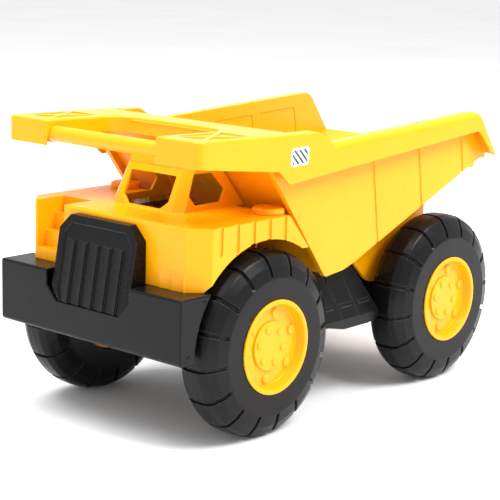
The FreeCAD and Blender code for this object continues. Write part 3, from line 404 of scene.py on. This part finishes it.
def tyre_columns(radius):
    """Angles of the grid's columns at a radius, with each column's distance from its groove's middle."""
    pitch = 2 * math.pi / LUGS
    columns = []
    for lug in range(LUGS):
        middle = math.radians(LUG_PHASE) + pitch * lug
        edge = math.asin(GROOVE_STEPS[-1] / radius)
        columns += [(middle + math.asin(s / radius), s) for s in GROOVE_STEPS]
        plain = 7
        for k in range(1, plain):
            columns.append((middle + edge + (pitch - 2 * edge) * k / plain, 9.0))
    return columns


def tyre_mesh(name, axle_y, side):
    """Tyre with a flat sidewall, two shoulder facets and lug grooves sunk into the shoulders and tread."""
    half = densified(tyre_profile(), 1.6)
    line = half + [Vector((-p.x, p.y)) for p in reversed(half[1:-1])]
    middle = (TYRE_X[0] + TYRE_X[1]) / 2
    rows = []
    for i, p in enumerate(line):
        ahead, behind = line[(i + 1) % len(line)], line[i - 1]
        run = (ahead - behind).normalized()
        out = Vector((run.y, -run.x))
        reach = smooth(p.y, GROOVE["end"] - 0.35, GROOVE["end"] + 0.35)
        seam = 0.18 * (1 - smooth(abs(p.x), 0.2, 0.7)) if p.y > 80 else 0.0
        row = []
        for angle, s in tyre_columns(p.y):
            depth = GROOVE["depth"] * reach * (1 - smooth(abs(s), GROOVE["half"] - 0.22, GROOVE["half"] + 0.22))
            q = p - out * (depth - seam * (1 if depth < 0.1 else 0))
            x = side * (middle + q.x)
            row.append(Vector((x, axle_y * 1000 - q.y * math.sin(angle), TYRE_R + q.y * math.cos(angle))) * MM)
        rows.append(row)
    return mesh_of(name, *revolve_rows(rows))


# ---- hubs ----
def turned(line, axle, side, steps=96):
    """Vertices and faces of a closed (x, radius) outline turned about the wheel's axle."""
    rows = []
    for p in line:
        row = []
        for k in range(steps):
            angle = 2 * math.pi * k / steps
            row.append(Vector((side * p.x, axle[0] - p.y * math.sin(angle), axle[1] + p.y * math.cos(angle))) * MM)
        rows.append(row)
    return revolve_rows(rows)


def added(total, more):
    """Two (verts, faces) pairs as one."""
    shift = len(total[0])
    return total[0] + more[0], total[1] + [tuple(i + shift for i in face) for face in more[1]]


def bolt(x, radius, height, at, side, steps=32):
    """Round bolt head with a rolled edge and a faint dome; at is its (y, z)."""
    line = [Vector((x - 1.0, 0.0)), Vector((x - 1.0, radius + 0.25)), Vector((x, radius + 0.25)),
            Vector((x + 0.35, radius))]
    edge = 0.75
    for k in range(7):
        angle = math.pi / 2 * k / 6
        line.append(Vector((x + height - edge + edge * math.sin(angle), radius - edge + edge * math.cos(angle))))
    line += [Vector((x + height + 0.12, radius * 0.45)), Vector((x + height + 0.16, 0.0))]
    return turned_closed(line, at, side, steps)


def turned_closed(line, at, side, steps):
    """A turned outline whose first and last points lie on its axis."""
    verts = [Vector((side * line[0].x, at[0], at[1])) * MM]
    for p in line[1:-1]:
        for k in range(steps):
            angle = 2 * math.pi * k / steps
            verts.append(Vector((side * p.x, at[0] - p.y * math.sin(angle), at[1] + p.y * math.cos(angle))) * MM)
    verts.append(Vector((side * line[-1].x, at[0], at[1])) * MM)
    faces = []
    for k in range(steps):
        faces.append((0, 1 + k, 1 + (k + 1) % steps))
    rings = len(line) - 2
    for i in range(rings - 1):
        for k in range(steps):
            m = (k + 1) % steps
            faces.append((1 + i * steps + k, 1 + i * steps + m, 1 + (i + 1) * steps + m, 1 + (i + 1) * steps + k))
    last = 1 + (rings - 1) * steps
    for k in range(steps):
        faces.append((last + k, last + (k + 1) % steps, len(verts) - 1))
    return verts, faces


def ring_places(radius, count, first, axle):
    """(y, z) of points evenly round the axle."""
    places = []
    for k in range(count):
        angle = math.radians(first + 360.0 * k / count)
        places.append((axle[0] - radius * math.sin(angle), axle[1] + radius * math.cos(angle)))
    return places


HUB_OUTLINE = ([(88.6, 4.05), (88.6, 9.0), (117.0, 9.0), (117.0, 23.0), (127.0, 23.0), (127.0, 41.2), (126.0, 43.2),
                (91.0, 43.2), (91.0, 46.2), (138.0, 46.2), (138.1, 46.9), (139.6, 46.9), (140.0, 44.4),
                (139.2, 42.3), (130.0, 39.0), (130.0, 20.0), (120.0, 20.0), (120.0, 4.05)],
               [0, 0.6, 1.5, 1.5, 1.5, 0.8, 0.8, 0.6, 0.6, 0, 0.2, 0.8, 1.2, 1.1, 1.6, 0.6, 0.6, 0])


def hub_mesh(name, axle_y, side):
    """Rim with a rolled lip, cone, flat dish, ribbed back and a ring of bolt heads."""
    axle = (axle_y * 1000, TYRE_R)
    total = turned(fillet(*HUB_OUTLINE, 3), axle, side)
    for at in ring_places(32.3, 6, -10.0, axle):
        total = added(total, bolt(130.0, 4.8, 2.2, at, side))
    for k in range(6):
        total = added(total, hub_rib(math.radians(20.0 + 60.0 * k), axle, side))
    return mesh_of(name, *total)


def hub_rib(angle, axle, side):
    """One radial stiffening rib on the back of the rim."""
    corners = [(92.0, 9.0), (92.0, 43.0), (126.6, 43.0), (126.6, 23.2), (116.8, 23.2), (116.8, 9.0)]
    verts, faces = [], []
    for half in (-1.2, 1.2):
        for x, r in corners:
            y = r * math.sin(angle) + half * math.cos(angle)
            z = r * math.cos(angle) - half * math.sin(angle)
            verts.append(Vector((side * x, axle[0] - y, axle[1] + z)) * MM)
    count = len(corners)
    faces.append(tuple(range(count)))
    faces.append(tuple(range(2 * count - 1, count - 1, -1)))
    for k in range(count):
        m = (k + 1) % count
        faces.append((k, m, count + m, count + k))
    return verts, faces


def cap_mesh(name, axle_y, side):
    """Centre disc with a rolled rim and a ring of small bolt heads."""
    axle = (axle_y * 1000, TYRE_R)
    line = [Vector((125.0, 0.0)), Vector((125.0, 19.4)), Vector((125.4, 19.9)), Vector((130.1, 19.9)),
            Vector((130.1, 24.3)), Vector((130.3, 24.5)), Vector((131.4, 24.5)), Vector((131.8, 24.4)),
            Vector((132.1, 24.1)), Vector((132.2, 23.6)), Vector((132.2, 22.9)), Vector((132.0, 22.6)),
            Vector((131.95, 22.2)), Vector((131.95, 8.0)), Vector((131.95, 0.0))]
    total = turned_closed(line, axle, side, 96)
    for at in ring_places(17.5, 6, 18.0, axle):
        total = added(total, bolt(131.95, 3.6, 1.7, at, side, 24))
    return mesh_of(name, *total)


def wheels():
    """All four tyres, rims and centre discs."""
    for corner in CORNERS:
        lowest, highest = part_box("tyre_" + corner)
        axle_y = (lowest.y + highest.y) / 2
        side = 1 if corner.endswith("left") else -1
        for kind, build in (("tyre", tyre_mesh), ("hub", hub_mesh), ("hub_cap", cap_mesh)):
            node = kind + "_" + corner
            made = piece(node + "_moulding", build(node, axle_y, side), node)
            if kind != "tyre":
                shade_by_angle(made, 32)


def shade_by_angle(made, degrees):
    """Mark edges sharper than the angle, so that flats stay flat beside smooth curves."""
    bm = bmesh.new()
    bm.from_mesh(made.data)
    for edge in bm.edges:
        edge.smooth = edge.calc_face_angle(0.0) < math.radians(degrees)
    bm.to_mesh(made.data)
    bm.free()
    normals = made.modifiers.new("normals", "WEIGHTED_NORMAL")
    normals.keep_sharp = True
    return baked(made)


wheels()

# ---- moulded pieces ----
for node, width in (("front_bumper", 0.8), ("grille", 0.7),
                    ("chassis_frame", 0.7), ("chassis_cover", 0.5), ("side_step_left", 0.4),
                    ("side_step_right", 0.4), ("cab_floor", 0.5), ("deck_cap_left", 0.8), ("deck_cap_right", 0.8),
                    ("canopy_bar", 0.4), ("hinge_caps", 0.5), ("axle_sleeves", 0.4), ("cover_screws", 0.25),
                    ("body_screws", 0.25), ("bumper_screws", 0.25), ("axle_nuts", 0.25), ("hinge_pin", 0.3),
                    ("axle_front", 0.3), ("axle_rear", 0.3), ("decal_left", 0.1), ("decal_right", 0.1)):
    rounded(node, width * MM)
for node in ("dump_bed", "cab_body"):
    moulded(node)


# ---- studio ----
def area_light(name, place, aim, size, watts, colour=(1, 1, 1)):
    """A soft square light that faces a point."""
    data = bpy.data.lights.new(name, "AREA")
    data.shape, data.size, data.energy, data.color = "SQUARE", size, watts, colour
    made = bpy.data.objects.new(name, data)
    made.location = place
    made.rotation_euler = (Vector(aim) - Vector(place)).to_track_quat("-Z", "Y").to_euler()
    bpy.context.scene.collection.objects.link(made)


def studio():
    """Pale floor, white surroundings and two soft lights."""
    verts = [(-12, -12, 0), (12, -12, 0), (12, 12, 0), (-12, 12, 0)]
    mesh = bpy.data.meshes.new("floor")
    mesh.from_pydata([Vector(v) for v in verts], [], [(0, 1, 2, 3)])
    mesh.materials.append(floor_finish())
    floor = bpy.data.objects.new("floor", mesh)
    bpy.context.scene.collection.objects.link(floor)
    world = bpy.data.worlds.new("studio")
    world.use_nodes = True
    background = world.node_tree.nodes["Background"]
    background.inputs["Color"].default_value = (1.0, 1.0, 1.0, 1)
    background.inputs["Strength"].default_value = 0.95
    bpy.context.scene.world = world
    area_light("key", (1.7, 0.55, 2.4), (0.0, 0.05, 0.15), 1.4, 84)
    area_light("top", (-0.4, -0.8, 2.6), (0.0, 0.0, 0.1), 1.8, 74)


def camera():
    """Three-quarter view of the front and left side."""
    turn, rise, roll = math.radians(41.20), math.radians(11.77), math.radians(1.54)
    back = Vector((math.sin(turn) * math.cos(rise), -math.cos(turn) * math.cos(rise), math.sin(rise)))
    right = (-back).cross(Vector((0, 0, 1))).normalized()
    up = right.cross(-back)
    right_rolled = right * math.cos(roll) + up * math.sin(roll)
    up_rolled = up * math.cos(roll) - right * math.sin(roll)
    data = bpy.data.cameras.new("camera")
    data.lens, data.sensor_width = 109.76, 36.0
    data.shift_x, data.shift_y = -0.0018, 0.0008
    made = bpy.data.objects.new("camera", data)
    turned_to = Matrix((right_rolled, up_rolled, back)).transposed().to_4x4()
    made.matrix_world = Matrix.Translation((1.0531, -1.2184, 0.4829)) @ turned_to
    bpy.context.scene.collection.objects.link(made)
    bpy.context.scene.camera = made


studio()
camera()
bpy.context.scene.view_settings.view_transform = "Standard"
